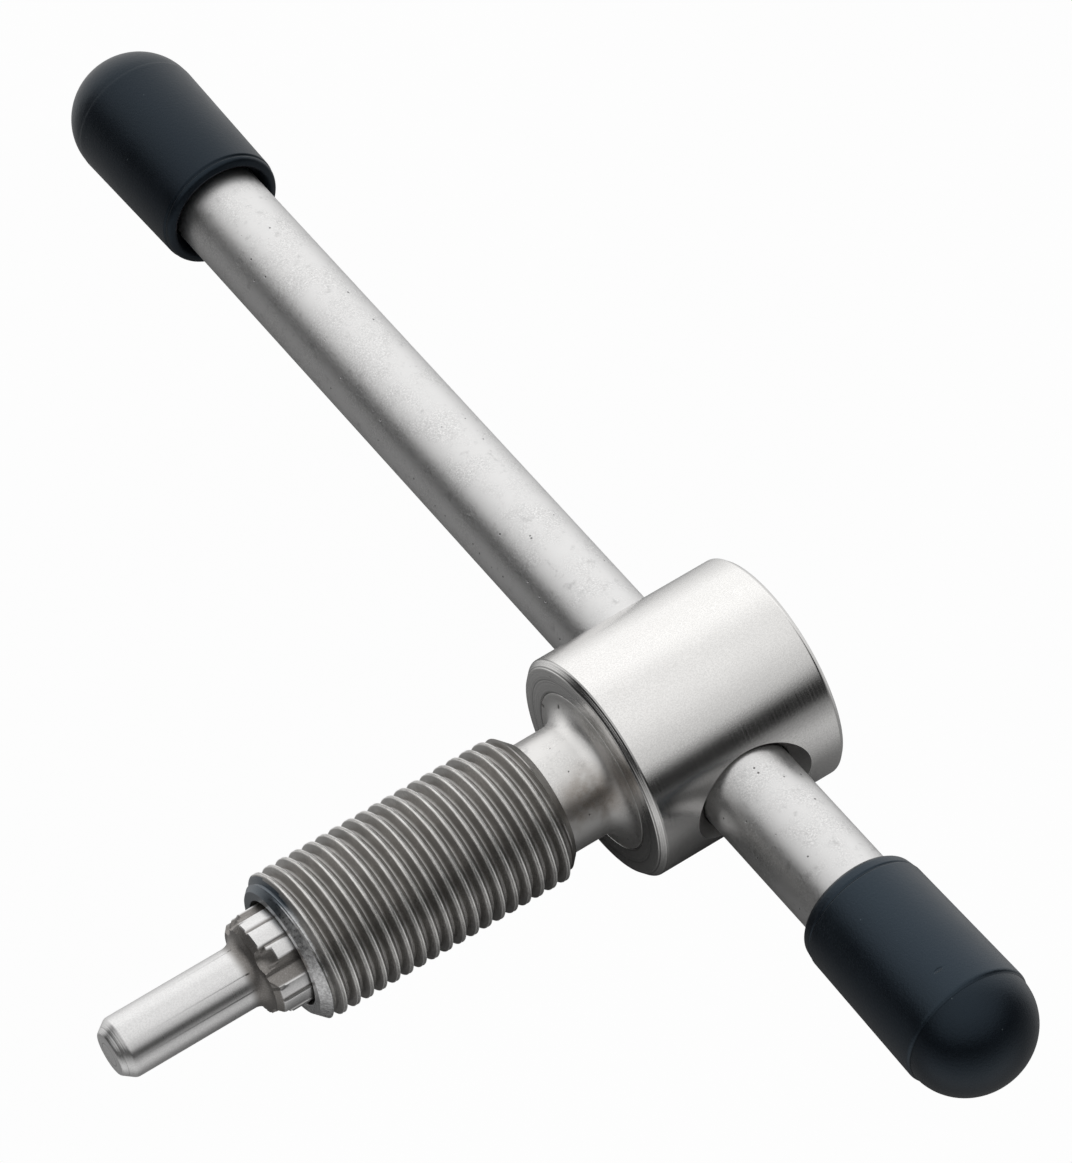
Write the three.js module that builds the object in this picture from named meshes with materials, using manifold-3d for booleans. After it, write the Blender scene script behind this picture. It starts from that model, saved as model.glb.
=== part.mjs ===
// Drive screw of a bicycle chain tool: a threaded screw with a press pin in its nose and a
// round head, and a handle bar with rubber end caps that slides through the head.
// Millimetres. The origin is the centre of the head's flat back face, +X runs along the
// screw to the pin's tip, +Y along the handle bar to its short side, +Z is up.

import * as THREE from 'three';
import { mergeVertices } from 'three/addons/utils/BufferGeometryUtils.js';
import Module from 'manifold-3d';

// ---- driving dimensions -------------------------------------------------------------

const HEAD_DIAMETER = 12;
const HEAD_LENGTH = 10.85;
const HEAD_CHAMFER = 0.25;
const HEAD_FRONT_BEVEL = 0.45;
const BAR_X = 5.35;

const BAR_DIAMETER = 5;
const BAR_HOLE_DIAMETER = 5.16;
const COUNTERSINK_DIAMETER = 6.6;
const BAR_LONG_END = -53.1;
const BAR_SHORT_END = 24.7;
const BAR_CHAMFER = 0.5;

const CAP_END_WALL = 1.5;
const SHORT_SIDE_CAP = {
  length: 12.05,
  mouthDiameter: 6.66,
  seamDiameter: 6.98,
  domeDiameter: 6.76,
  domeHeight: 3.12,
  lipLength: 1.3,
  lipDepth: 0.4,
};
const LONG_SIDE_CAP = {
  length: 12.2,
  mouthDiameter: 6.86,
  seamDiameter: 7.22,
  domeDiameter: 7.18,
  domeHeight: 3.4,
  lipLength: 0.7,
  lipDepth: 0.4,
};

const FLANGE_DIAMETER = 8.6;
const FLANGE_DEPTH = 0.9;
const FLARE_RADIUS = 1.05;
const SPIGOT_DIAMETER = 5.2;
const SPIGOT_DEPTH = 1.3;
const NECK_DIAMETER = 6;

const THREAD_DIAMETER = 7.84;
const THREAD_PITCH = 0.75;
const THREAD_DEPTH = 0.46;
const THREAD_PHASE = 0.52;
const THREAD_START = 13.97;
const THREAD_END = 28.65;
const THREAD_REAR_CHAMFER = 0.65;
const NOSE_CHAMFER = 0.6;

const COLLAR_DIAMETER = 5.26;
const COLLAR_FRONT = 30.4;
const COLLAR_BACK = 26.6;
const COLLAR_BEVEL = 0.3;
const COLLAR_LOBES = 4;
const COLLAR_FIRST_LOBE = 84;
const COLLAR_LOBE_HALF_ANGLE = 30.5;
const COLLAR_GROOVE_ANGLE = 12.5;
const COLLAR_GROOVE_HALF_ANGLE = 2.4;
const COLLAR_GROOVE_DEPTH = 0.13;
const COLLAR_NOTCH_DEPTH = 0.45;
const SCOOP_RADIUS = 0.75;
const SCOOP_OFFSET = 2.75;
const SCOOP_ANGLE = 27;

const PIN_DIAMETER = 3.2;
const PIN_TIP = 38.3;
const PIN_TIP_DIAMETER = 2.25;
const PIN_TIP_CHAMFER = 0.65;
const PIN_FILLET = 0.7;

const SHANK_DIAMETER = 3.0;
const SHANK_BACK = 19.2;
const RING_GROOVE_CENTRE = 21.6;
const RING_WIDTH = 0.6;
const RING_DIAMETER = 3.08;
const RING_GROOVE_DIAMETER = 2.4;
const RING_GAP = 0.9;

const BORE_DIAMETER = 3.14;
const BORE_BOTTOM = 15.4;
const COLLAR_BORE_DIAMETER = 5.66;
const BALL_DIAMETER = 3.0;

const RUNNING_GAP = 0.05;
const FIXED_GAP = 0.03;

// Segments round each turned piece.
const HEAD_SIDES = 72;
const BAR_SIDES = 40;
const SCREW_SIDES = 32;
const PIN_SIDES = 48;
const RING_SIDES = 28;

const degrees = THREE.MathUtils.degToRad;

// ---- solids -------------------------------------------------------------------------

const wasm = await Module();
wasm.setup();

// A closed mesh as a solid that can be joined and cut.
function solid(geometry) {
  const bare = geometry.clone();
  bare.deleteAttribute('normal');
  bare.deleteAttribute('uv');
  const merged = mergeVertices(bare);
  const corners = merged.index.array;
  const triangles = [];
  for (let i = 0; i < corners.length; i += 3) {
    const [a, b, c] = [corners[i], corners[i + 1], corners[i + 2]];
    if (a !== b && b !== c && c !== a) triangles.push(a, b, c);
  }
  return new wasm.Manifold(new wasm.Mesh({
    numProp: 3,
    vertProperties: new Float32Array(merged.attributes.position.array),
    triVerts: new Uint32Array(triangles),
  }));
}

function geometryOf(body) {
  const mesh = body.getMesh();
  const geometry = new THREE.BufferGeometry();
  geometry.setAttribute('position', new THREE.BufferAttribute(mesh.vertProperties, 3));
  geometry.setIndex(new THREE.BufferAttribute(mesh.triVerts, 1));
  geometry.computeVertexNormals();
  return geometry;
}

// A profile of [along, radius] points turned about Y, from low to high along the axis.
function turnedY(profile, sides) {
  const points = profile.map(([along, radius]) => new THREE.Vector2(radius, along));
  return new THREE.LatheGeometry(points, sides);
}

// The same, turned about X.
function turnedX(profile, sides) {
  return turnedY(profile, sides).rotateZ(-Math.PI / 2);
}

// Points of an arc about (along, radius), angles in degrees from the along direction.
function arc(along, radius, size, from, to, steps) {
  return Array.from({ length: steps + 1 }, (_, i) => {
    const angle = degrees(from + (to - from) * i / steps);
    return [along + size * Math.cos(angle), radius + size * Math.sin(angle)];
  });
}

// ---- head ---------------------------------------------------------------------------

function headGeometry() {
  const radius = HEAD_DIAMETER / 2;
  const blank = solid(turnedX([
    [0, 0],
    [0, radius - HEAD_CHAMFER],
    [HEAD_CHAMFER, radius],
    [HEAD_LENGTH - HEAD_FRONT_BEVEL, radius],
    [HEAD_LENGTH, radius - HEAD_FRONT_BEVEL / 2],
    [HEAD_LENGTH, 0],
  ], HEAD_SIDES));

  const hole = BAR_HOLE_DIAMETER / 2;
  const sink = COUNTERSINK_DIAMETER / 2;
  const sinkDepth = sink - hole;
  const clear = 1;
  const crossHole = solid(turnedY([
    [-radius - clear, 0],
    [-radius - clear, sink + clear],
    [-radius + sinkDepth, hole],
    [radius - sinkDepth, hole],
    [radius + clear, sink + clear],
    [radius + clear, 0],
  ], BAR_SIDES).rotateY(Math.PI / BAR_SIDES).translate(BAR_X, 0, 0));

  const flangeSeat = HEAD_LENGTH - FLANGE_DEPTH - FIXED_GAP;
  const spigotSeat = flangeSeat - SPIGOT_DEPTH;
  const screwSeat = solid(turnedX([
    [spigotSeat, 0],
    [spigotSeat, SPIGOT_DIAMETER / 2 + FIXED_GAP],
    [flangeSeat, SPIGOT_DIAMETER / 2 + FIXED_GAP],
    [flangeSeat, FLANGE_DIAMETER / 2 + FIXED_GAP],
    [HEAD_LENGTH + clear, FLANGE_DIAMETER / 2 + FIXED_GAP],
    [HEAD_LENGTH + clear, 0],
  ], SCREW_SIDES));

  return geometryOf(blank.subtract(crossHole).subtract(screwSeat));
}

// ---- drive screw --------------------------------------------------------------------

// A threaded rod: each column of a cylinder's vertices is slid along by its share of one
// pitch, so that the crests and the root run along the rows as a right-hand helix.
function threadRod(start, end) {
  const rows = [0, THREAD_PITCH / 8, THREAD_PITCH * 9 / 16];
  const depths = [0, 0, THREAD_DEPTH];
  const turns = Math.ceil((end - start) / THREAD_PITCH) + 1;
  const rowCount = turns * rows.length;
  const rod = new THREE.CylinderGeometry(1, 1, 1, SCREW_SIDES, rowCount);
  const position = rod.attributes.position;
  const across = SCREW_SIDES + 1;
  const sideVertices = across * (rowCount + 1);
  const root = THREAD_DIAMETER / 2 - THREAD_DEPTH;

  for (let v = 0; v < position.count; v += 1) {
    const onSide = v < sideVertices;
    const row = rowCount - Math.floor(v / across);
    const column = v % across;
    const turn = Math.floor(row / rows.length) - 1 + column / SCREW_SIDES;
    const along = start + turn * THREAD_PITCH + rows[row % rows.length];
    const inside = onSide && along > start && along < end;
    const radius = inside ? THREAD_DIAMETER / 2 - depths[row % rows.length] : root;
    const capEnd = position.getY(v) > 0 ? end : start;
    const y = onSide ? THREE.MathUtils.clamp(along, start, end) : capEnd;
    position.setXYZ(v, position.getX(v) * radius, y, position.getZ(v) * radius);
  }
  return rod.rotateZ(-Math.PI / 2);
}

function driveScrewGeometry() {
  const crest = THREAD_DIAMETER / 2;
  const clear = 1;
  const envelope = solid(turnedX([
    [THREAD_START, 0],
    [THREAD_START, crest - THREAD_REAR_CHAMFER],
    [THREAD_START + THREAD_REAR_CHAMFER, crest],
    [THREAD_END - NOSE_CHAMFER, crest],
    [THREAD_END, crest - NOSE_CHAMFER],
    [THREAD_END, 0],
  ], SCREW_SIDES));
  const rodStart = THREAD_START - clear + THREAD_PHASE;
  const thread = solid(threadRod(rodStart, THREAD_END + clear)).intersect(envelope);

  const neck = NECK_DIAMETER / 2;
  const flangeBack = HEAD_LENGTH - FLANGE_DEPTH;
  const root = solid(turnedX([
    [flangeBack - SPIGOT_DEPTH, 0],
    [flangeBack - SPIGOT_DEPTH, SPIGOT_DIAMETER / 2],
    [flangeBack, SPIGOT_DIAMETER / 2],
    [flangeBack, FLANGE_DIAMETER / 2],
    [HEAD_LENGTH, FLANGE_DIAMETER / 2],
    ...arc(HEAD_LENGTH + FLARE_RADIUS, neck + FLARE_RADIUS, FLARE_RADIUS, 180, 270, 6),
    [THREAD_START + clear, neck],
    [THREAD_START + clear, 0],
  ], SCREW_SIDES));

  const bore = BORE_DIAMETER / 2;
  const mouth = COLLAR_BORE_DIAMETER / 2;
  const drillCone = bore * Math.tan(degrees(31));
  const collarSeat = COLLAR_BACK - RUNNING_GAP;
  const steppedBore = solid(turnedX([
    [BORE_BOTTOM - drillCone, 0],
    [BORE_BOTTOM, bore],
    [collarSeat, bore],
    [collarSeat, mouth],
    [THREAD_END + clear, mouth],
    [THREAD_END + clear, 0],
  ], PIN_SIDES));

  return geometryOf(root.add(thread).subtract(steppedBore));
}

// ---- press pin ----------------------------------------------------------------------

// The collar's section: lobes with a vee groove either side of the middle, and a wide
// shallow vee notch between one lobe and the next. Points are [angle, radius].
function collarOutline() {
  const radius = COLLAR_DIAMETER / 2;
  const grooveRadius = radius - COLLAR_GROOVE_DEPTH;
  const groove = COLLAR_GROOVE_ANGLE;
  const outline = [];
  for (let lobe = 0; lobe < COLLAR_LOBES; lobe += 1) {
    const middle = COLLAR_FIRST_LOBE + lobe * 360 / COLLAR_LOBES;
    const land = (from, to) => [from, (from + to) / 2, to].map((turn) => [middle + turn, radius]);
    outline.push(
      ...land(-COLLAR_LOBE_HALF_ANGLE, -groove - COLLAR_GROOVE_HALF_ANGLE),
      [middle - groove, grooveRadius],
      ...land(-groove + COLLAR_GROOVE_HALF_ANGLE, groove - COLLAR_GROOVE_HALF_ANGLE),
      [middle + groove, grooveRadius],
      ...land(groove + COLLAR_GROOVE_HALF_ANGLE, COLLAR_LOBE_HALF_ANGLE),
      [middle + 180 / COLLAR_LOBES, radius - COLLAR_NOTCH_DEPTH],
    );
  }
  return new THREE.Shape(outline.map(([angle, size]) => (
    new THREE.Vector2(size * Math.cos(degrees(angle)), size * Math.sin(degrees(angle)))
  )));
}

function pressPinGeometry() {
  const pin = PIN_DIAMETER / 2;
  const collar = COLLAR_DIAMETER / 2;
  const shank = SHANK_DIAMETER / 2;
  const groove = RING_GROOVE_DIAMETER / 2;
  const grooveHalf = RING_WIDTH / 2 + RUNNING_GAP;
  const shankChamfer = 0.2;

  // The section is drawn in the YZ plane and pushed along X.
  const splines = new THREE.ExtrudeGeometry(collarOutline(), {
    depth: COLLAR_FRONT - COLLAR_BACK,
    bevelEnabled: false,
  });
  const yzToWorld = new THREE.Matrix4().makeBasis(
    new THREE.Vector3(0, 1, 0),
    new THREE.Vector3(0, 0, 1),
    new THREE.Vector3(1, 0, 0),
  );
  splines.applyMatrix4(yzToWorld).translate(COLLAR_BACK, 0, 0);

  const envelope = solid(turnedX([
    [COLLAR_BACK, 0],
    [COLLAR_BACK, collar - 0.3],
    [COLLAR_BACK + 0.3, collar + 0.01],
    [COLLAR_FRONT - COLLAR_BEVEL, collar + 0.01],
    ...arc(COLLAR_FRONT + PIN_FILLET, pin + PIN_FILLET, PIN_FILLET, 180, 270, 5),
    [COLLAR_FRONT + PIN_FILLET, 0],
  ], PIN_SIDES));

  const body = solid(turnedX([
    [SHANK_BACK, 0],
    [SHANK_BACK, shank - shankChamfer],
    [SHANK_BACK + shankChamfer, shank],
    [RING_GROOVE_CENTRE - grooveHalf, shank],
    [RING_GROOVE_CENTRE - grooveHalf, groove],
    [RING_GROOVE_CENTRE + grooveHalf, groove],
    [RING_GROOVE_CENTRE + grooveHalf, shank],
    [COLLAR_BACK + 0.3, shank],
    [COLLAR_BACK + 0.3, pin],
    [COLLAR_FRONT - COLLAR_BEVEL, pin],
    [PIN_TIP - PIN_TIP_CHAMFER, pin],
    [PIN_TIP, PIN_TIP_DIAMETER / 2],
    [PIN_TIP, 0],
  ], PIN_SIDES));

  let collarSolid = solid(splines).intersect(envelope);
  for (let lobe = 0; lobe < COLLAR_LOBES; lobe += 1) {
    const angle = degrees(COLLAR_FIRST_LOBE - SCOOP_ANGLE + lobe * 360 / COLLAR_LOBES);
    const scoop = new THREE.SphereGeometry(SCOOP_RADIUS, 20, 14)
      .translate(COLLAR_FRONT, SCOOP_OFFSET * Math.cos(angle), SCOOP_OFFSET * Math.sin(angle));
    collarSolid = collarSolid.subtract(solid(scoop));
  }
  return geometryOf(collarSolid.add(body));
}

// ---- pieces inside the bore ---------------------------------------------------------

function retainingRingGeometry() {
  const inner = RING_GROOVE_DIAMETER / 2 + RUNNING_GAP;
  const outer = RING_DIAMETER / 2;
  const low = RING_GROOVE_CENTRE - RING_WIDTH / 2;
  const high = RING_GROOVE_CENTRE + RING_WIDTH / 2;
  const ring = solid(turnedX([
    [low, inner],
    [low, outer],
    [high, outer],
    [high, inner],
    [low, inner],
  ], RING_SIDES));
  const split = new THREE.BoxGeometry(2 * RING_WIDTH, RING_GAP, RING_DIAMETER)
    .translate(RING_GROOVE_CENTRE, 0, -RING_DIAMETER / 2);
  return geometryOf(ring.subtract(solid(split)));
}

function thrustBallGeometry() {
  const radius = BALL_DIAMETER / 2;
  return new THREE.SphereGeometry(radius, 24, 14)
    .translate(SHANK_BACK - radius - RUNNING_GAP, 0, 0);
}

// ---- handle bar and caps ------------------------------------------------------------

function tommyBarGeometry() {
  const radius = BAR_DIAMETER / 2;
  const bar = turnedY([
    [BAR_LONG_END, 0],
    [BAR_LONG_END, radius - BAR_CHAMFER],
    [BAR_LONG_END + BAR_CHAMFER, radius],
    [BAR_SHORT_END - BAR_CHAMFER, radius],
    [BAR_SHORT_END, radius - BAR_CHAMFER],
    [BAR_SHORT_END, 0],
  ], BAR_SIDES);
  return geometryOf(solid(bar.translate(BAR_X, 0, 0)));
}

// A cap on a bar that ends at +Y barEnd, its dome outwards and its bore open to the head.
function endCap(barEnd, cap) {
  const bore = BAR_DIAMETER / 2 + FIXED_GAP;
  const bottom = barEnd + FIXED_GAP;
  const apex = bottom + CAP_END_WALL;
  const mouth = apex - cap.length;
  const seam = apex - cap.domeHeight;
  const mouthRadius = cap.mouthDiameter / 2;
  const quarter = (steps) => Array.from({ length: steps }, (_, i) => degrees(90 * i / steps));
  const lip = quarter(4).map((angle) => [
    mouth + cap.lipLength * (1 - Math.cos(angle)),
    mouthRadius - cap.lipDepth * (1 - Math.sin(angle)),
  ]);
  const dome = quarter(8).map((angle) => [
    seam + cap.domeHeight * Math.sin(angle),
    cap.domeDiameter / 2 * Math.cos(angle),
  ]);
  return turnedY([
    [bottom, 0],
    [bottom, bore],
    [mouth + 0.7, bore],
    [mouth, bore + 0.3],
    ...lip,
    [mouth + cap.lipLength, mouthRadius],
    [seam, cap.seamDiameter / 2],
    ...dome,
    [apex, 0],
  ], BAR_SIDES);
}

function shortSideCapGeometry() {
  return geometryOf(solid(endCap(BAR_SHORT_END, SHORT_SIDE_CAP).translate(BAR_X, 0, 0)));
}

function longSideCapGeometry() {
  const cap = endCap(-BAR_LONG_END, LONG_SIDE_CAP).rotateZ(Math.PI);
  return geometryOf(solid(cap.translate(BAR_X, 0, 0)));
}

// ---- assembly -----------------------------------------------------------------------

function material(color, roughness, metalness) {
  return new THREE.MeshStandardMaterial({ color, roughness, metalness });
}

const satinNickel = material(0xc8c6c2, 0.35, 0.95);
const blastedNickel = material(0xbab7b2, 0.55, 0.9);
const threadSteel = material(0x6e6962, 0.45, 0.9);
const pinSteel = material(0xc4c2be, 0.4, 0.95);
const springSteel = material(0x8a8c90, 0.35, 0.95);
const ballSteel = material(0xd2d4d8, 0.12, 1);
const rubber = material(0x20252c, 0.75, 0);

const group = new THREE.Group();

function addPiece(name, geometry, look) {
  const mesh = new THREE.Mesh(geometry, look);
  mesh.name = name;
  group.add(mesh);
}

addPiece('head', headGeometry(), satinNickel);
addPiece('drive_screw', driveScrewGeometry(), threadSteel);
addPiece('press_pin', pressPinGeometry(), pinSteel);
addPiece('retaining_ring', retainingRingGeometry(), springSteel);
addPiece('thrust_ball', thrustBallGeometry(), ballSteel);
addPiece('tommy_bar', tommyBarGeometry(), blastedNickel);
addPiece('end_cap_short_side', shortSideCapGeometry(), rubber);
addPiece('end_cap_long_side', longSideCapGeometry(), rubber);

export default group;
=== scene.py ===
"""Fine meshes, metal and rubber finishes and studio for a chain tool's drive screw.

The part lies along two axes: the screw along X, from the head's back face at 0 to the
press pin's tip, and the handle bar along Y. Everything is in metres.
"""

import math

import bmesh
import bpy
from bpy.props import FloatProperty, FloatVectorProperty, IntProperty, PointerProperty
from bpy.types import Operator, Panel, PropertyGroup
from mathutils import Euler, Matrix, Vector


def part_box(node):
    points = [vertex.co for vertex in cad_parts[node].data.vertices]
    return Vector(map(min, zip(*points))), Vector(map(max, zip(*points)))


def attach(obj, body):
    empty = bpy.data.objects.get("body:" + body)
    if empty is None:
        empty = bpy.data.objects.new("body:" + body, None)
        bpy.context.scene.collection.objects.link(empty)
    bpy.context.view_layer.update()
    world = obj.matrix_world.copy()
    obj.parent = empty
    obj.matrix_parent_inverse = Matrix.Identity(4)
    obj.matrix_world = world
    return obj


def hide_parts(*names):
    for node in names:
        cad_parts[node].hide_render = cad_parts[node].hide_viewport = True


bl_info = {
    "name": "Chain Tool Drive Screw",
    "version": (1, 0, 0),
    "blender": (4, 5, 0),
    "location": "View3D > Sidebar > Drive Screw",
    "description": "Builds a chain tool's drive screw with its press pin and sliding handle bar",
    "category": "Add Mesh",
}

MM = 0.001

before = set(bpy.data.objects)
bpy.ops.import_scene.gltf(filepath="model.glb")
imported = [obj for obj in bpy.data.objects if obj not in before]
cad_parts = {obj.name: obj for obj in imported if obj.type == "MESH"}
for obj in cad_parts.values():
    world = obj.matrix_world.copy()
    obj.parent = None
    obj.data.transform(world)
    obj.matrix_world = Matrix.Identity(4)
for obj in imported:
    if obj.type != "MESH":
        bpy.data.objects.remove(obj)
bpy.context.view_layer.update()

HEAD_LOW, HEAD_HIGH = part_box("head")
SCREW_LOW, SCREW_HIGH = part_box("drive_screw")
PIN_LOW, PIN_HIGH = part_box("press_pin")
BAR_LOW, BAR_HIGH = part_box("tommy_bar")
NEAR_CAP_LOW, NEAR_CAP_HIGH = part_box("end_cap_short_side")
FAR_CAP_LOW, FAR_CAP_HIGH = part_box("end_cap_long_side")

HEAD_FRONT = HEAD_HIGH.x
BAR_X = (BAR_LOW.x + BAR_HIGH.x) / 2

# Faces thinner than this, in metres, are dissolved after a cut.
SLIVER = 1e-6

# Where the neck is stained grey-brown, in millimetres.
STAIN = (12.4, 2.55, 1.6)

# A small nick in the short side's cap, in millimetres.
NICK = (5.88, 21.63, 3.38)

# Two small pits in the screw's flange and flare, in millimetres.
FLANGE_PITS = ((10.85, -4.02, 1.07), (10.94, -2.29, 2.79))

# ---- settings -----------------------------------------------------------------------


def size(name, description, default):
    """A length that a user can change, in metres."""
    return FloatProperty(
        name=name,
        description=description,
        default=default,
        min=0.0,
        precision=5,
        subtype="DISTANCE",
        unit="LENGTH",
    )


def place(name, description, default):
    """A position along an axis, in metres, which may be negative."""
    return FloatProperty(
        name=name, description=description, default=default, precision=5, unit="LENGTH"
    )


def colour(name, description, default):
    """A colour that a user can change."""
    return FloatVectorProperty(
        name=name,
        description=description,
        default=default,
        min=0.0,
        max=1.0,
        size=3,
        subtype="COLOR",
    )


class HeadSettings(PropertyGroup):
    length: size("Length", "Length of the round head along the screw", HEAD_FRONT)
    diameter: size("Diameter", "Outer diameter of the head", 2 * HEAD_HIGH.z)
    back_chamfer: size("Back Chamfer", "Chamfer round the back face", 0.25 * MM)
    front_bevel: size("Front Bevel", "Width of the bevel round the front face", 0.36 * MM)
    hole: size("Cross Hole", "Diameter of the hole that the bar slides in", 5.16 * MM)
    countersink: size("Countersink", "Diameter of each countersink at its mouth", 6.6 * MM)
    metal: colour("Metal", "Colour of the turned, plated head", (0.80, 0.79, 0.775))


class ScrewSettings(PropertyGroup):
    flange: size("Flange", "Diameter of the flange let into the head", 2 * SCREW_HIGH.z)
    flange_depth: size("Flange Depth", "How deep the flange is let into the head", 0.9 * MM)
    spigot: size("Spigot", "Diameter of the spigot behind the flange", 5.2 * MM)
    flare: size("Flare", "Radius of the flare from the flange to the neck", 1.05 * MM)
    neck: size("Neck", "Diameter of the plain neck", 6 * MM)
    thread: size("Thread", "Diameter over the thread's crests", 7.84 * MM)
    pitch: size("Pitch", "Distance from one crest to the next", 0.75 * MM)
    depth: size("Thread Depth", "Depth of the thread", 0.46 * MM)
    start: place("Thread Start", "Where the thread starts behind the neck", 13.97 * MM)
    crest: place("Crest Place", "Where a crest crosses the top of the screw", 13.537 * MM)
    rear_chamfer: size("Rear Chamfer", "Chamfer on the thread's first turn", 0.65 * MM)
    nose_chamfer: size("Nose Chamfer", "Chamfer on the nose", 0.6 * MM)
    mouth: size("Collar Bore", "Diameter of the bore round the pin's collar", 5.66 * MM)
    mouth_floor: place("Collar Seat", "Where the wide bore ends", 26.55 * MM)
    bore: size("Bore", "Diameter of the bore round the pin's shank", 3.14 * MM)
    bore_floor: place("Bore Floor", "Where the narrow bore ends", 15.4 * MM)
    neck_metal: colour("Neck Metal", "Colour of the blasted neck", (0.76, 0.75, 0.735))
    thread_metal: colour("Thread Metal", "Colour of the cut thread", (0.46, 0.447, 0.43))


class PinSettings(PropertyGroup):
    diameter: size("Diameter", "Diameter of the press pin", 3.2 * MM)
    tip: size("Tip", "Diameter of the pin's flat tip", 2.25 * MM)
    tip_chamfer: size("Tip Chamfer", "Length of the chamfer at the tip", 0.65 * MM)
    shank: size("Shank", "Diameter of the shank inside the screw", 3.0 * MM)
    collar: size("Collar", "Diameter of the splined collar", 5.26 * MM)
    collar_front: place("Collar Front", "Where the collar's land ends", 30.4 * MM)
    collar_back: place("Collar Back", "Where the collar seats in the screw", 26.6 * MM)
    fillet: size("Fillet", "Radius between the collar and the pin", 0.7 * MM)
    lobes: IntProperty(
        name="Lobes", description="Number of lobes round the collar", default=4, min=2
    )
    first_lobe: FloatProperty(
        name="First Lobe",
        description="Angle of the middle of the first lobe",
        default=math.radians(84),
        subtype="ANGLE",
        unit="ROTATION",
    )
    notch_depth: size("Notch Depth", "Depth of the notches between the lobes", 0.45 * MM)
    groove_depth: size("Groove Depth", "Depth of the fine grooves in each lobe", 0.08 * MM)
    metal: colour("Metal", "Colour of the ground pin", (0.72, 0.715, 0.71))


class BarSettings(PropertyGroup):
    diameter: size("Diameter", "Diameter of the handle bar", BAR_HIGH.x - BAR_LOW.x)
    chamfer: size("Chamfer", "Chamfer at each end of the bar", 0.5 * MM)
    metal: colour("Metal", "Colour of the fine blasted, plated bar", (0.72, 0.715, 0.71))


class CapSettings(PropertyGroup):
    end_wall: size("End Wall", "Rubber beyond the end of the bar", 1.5 * MM)
    fit: size("Fit", "Gap between the bar and the rubber", 0.03 * MM)
    near_mouth: size("Short Side Mouth", "Diameter of that cap at its mouth", 6.66 * MM)
    near_dome: size("Short Side Dome", "Diameter of that cap's dome", 6.76 * MM)
    near_dome_height: size("Short Side Dome Height", "Height of that dome", 3.12 * MM)
    far_mouth: size("Long Side Mouth", "Diameter of that cap at its mouth", 6.86 * MM)
    far_dome: size("Long Side Dome", "Diameter of that cap's dome", 7.18 * MM)
    far_dome_height: size("Long Side Dome Height", "Height of that dome", 3.4 * MM)
    rubber: colour("Rubber", "Colour of the matt rubber", (0.0028, 0.0038, 0.0056))


class StageSettings(PropertyGroup):
    floor_depth: size(
        "Floor Depth", "How far the floor is below the screw's axis", -HEAD_LOW.z + 0.05 * MM
    )
    floor: colour("Floor", "Colour of the floor", (0.9, 0.9, 0.9))
    focal_length: FloatProperty(
        name="Focal Length",
        description="Focal length of the camera, in millimetres",
        default=183.08,
        min=1.0,
        unit="CAMERA",
    )


# ---- mesh making --------------------------------------------------------------------


def rounded(corners, steps=4):
    """Rounds an outline's corners, each given as (along, radius, rounding)."""
    outline = []
    for index, (along, radius, rounding) in enumerate(corners):
        corner = Vector((along, radius))
        if rounding == 0:
            outline.append(corner)
            continue
        before = Vector(corners[index - 1][:2]) - corner
        after = Vector(corners[index + 1][:2]) - corner
        start = corner + before.normalized() * min(rounding, before.length / 2)
        end = corner + after.normalized() * min(rounding, after.length / 2)
        for step in range(steps + 1):
            share = step / steps
            outline.append(start.lerp(corner, share).lerp(corner.lerp(end, share), share))
    return outline


def arc(along, radius, bend, first, last, steps):
    """Points of an arc about (along, radius), with angles in degrees."""
    angles = [math.radians(first + (last - first) * step / steps) for step in range(steps + 1)]
    return [
        Vector((along + bend * math.cos(angle), radius + bend * math.sin(angle)))
        for angle in angles
    ]


def rings_about_x(outline, sides, shape=None):
    """One ring of points for each (along, radius); shape can change a radius by angle."""
    turns = [2 * math.pi * side / sides for side in range(sides)]
    rings = []
    for along, radius in outline:
        reach = [radius if shape is None else shape(along, radius, turn) for turn in turns]
        rings.append(
            [(along, r * math.cos(turn), r * math.sin(turn)) for r, turn in zip(reach, turns)]
        )
    return rings


def rings_about_bar(outline, sides):
    """The same about the handle bar's axis, which runs along Y."""
    return [
        [(BAR_X + z, x, y) for x, y, z in ring] for ring in rings_about_x(outline, sides)
    ]


def skin(name, rings, shift_rows=range(0), shift=0):
    """Joins rings of points into one closed mesh object.

    In the rows of shift_rows, the last column meets the first one shift rows further on,
    which is how the rows of a helix join up.
    """
    surface = bmesh.new()
    grid = [[surface.verts.new(point) for point in ring] for ring in rings]
    columns = len(grid[0])
    for row in range(len(grid) - 1):
        for column in range(columns):
            last = column == columns - 1
            ahead = row + shift if last and row in shift_rows else row
            if last and row in shift_rows and ahead + 1 not in shift_rows:
                continue
            beside = (column + 1) % columns
            surface.faces.new((
                grid[row][column],
                grid[ahead][beside],
                grid[ahead + 1][beside],
                grid[row + 1][column],
            ))
    bmesh.ops.remove_doubles(surface, verts=surface.verts, dist=1e-7)
    bmesh.ops.dissolve_degenerate(surface, edges=surface.edges, dist=1e-8)
    bmesh.ops.recalc_face_normals(surface, faces=surface.faces)
    mesh = bpy.data.meshes.new(name)
    surface.to_mesh(mesh)
    surface.free()
    piece = bpy.data.objects.new(name, mesh)
    bpy.context.scene.collection.objects.link(piece)
    return piece


def smooth(piece, sharp_from=32):
    """Smooth shading, with a crease at every edge sharper than that many degrees."""
    mesh = piece.data
    mesh.polygons.foreach_set("use_smooth", [True] * len(mesh.polygons))
    mesh.set_sharp_from_angle(angle=math.radians(sharp_from))


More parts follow.
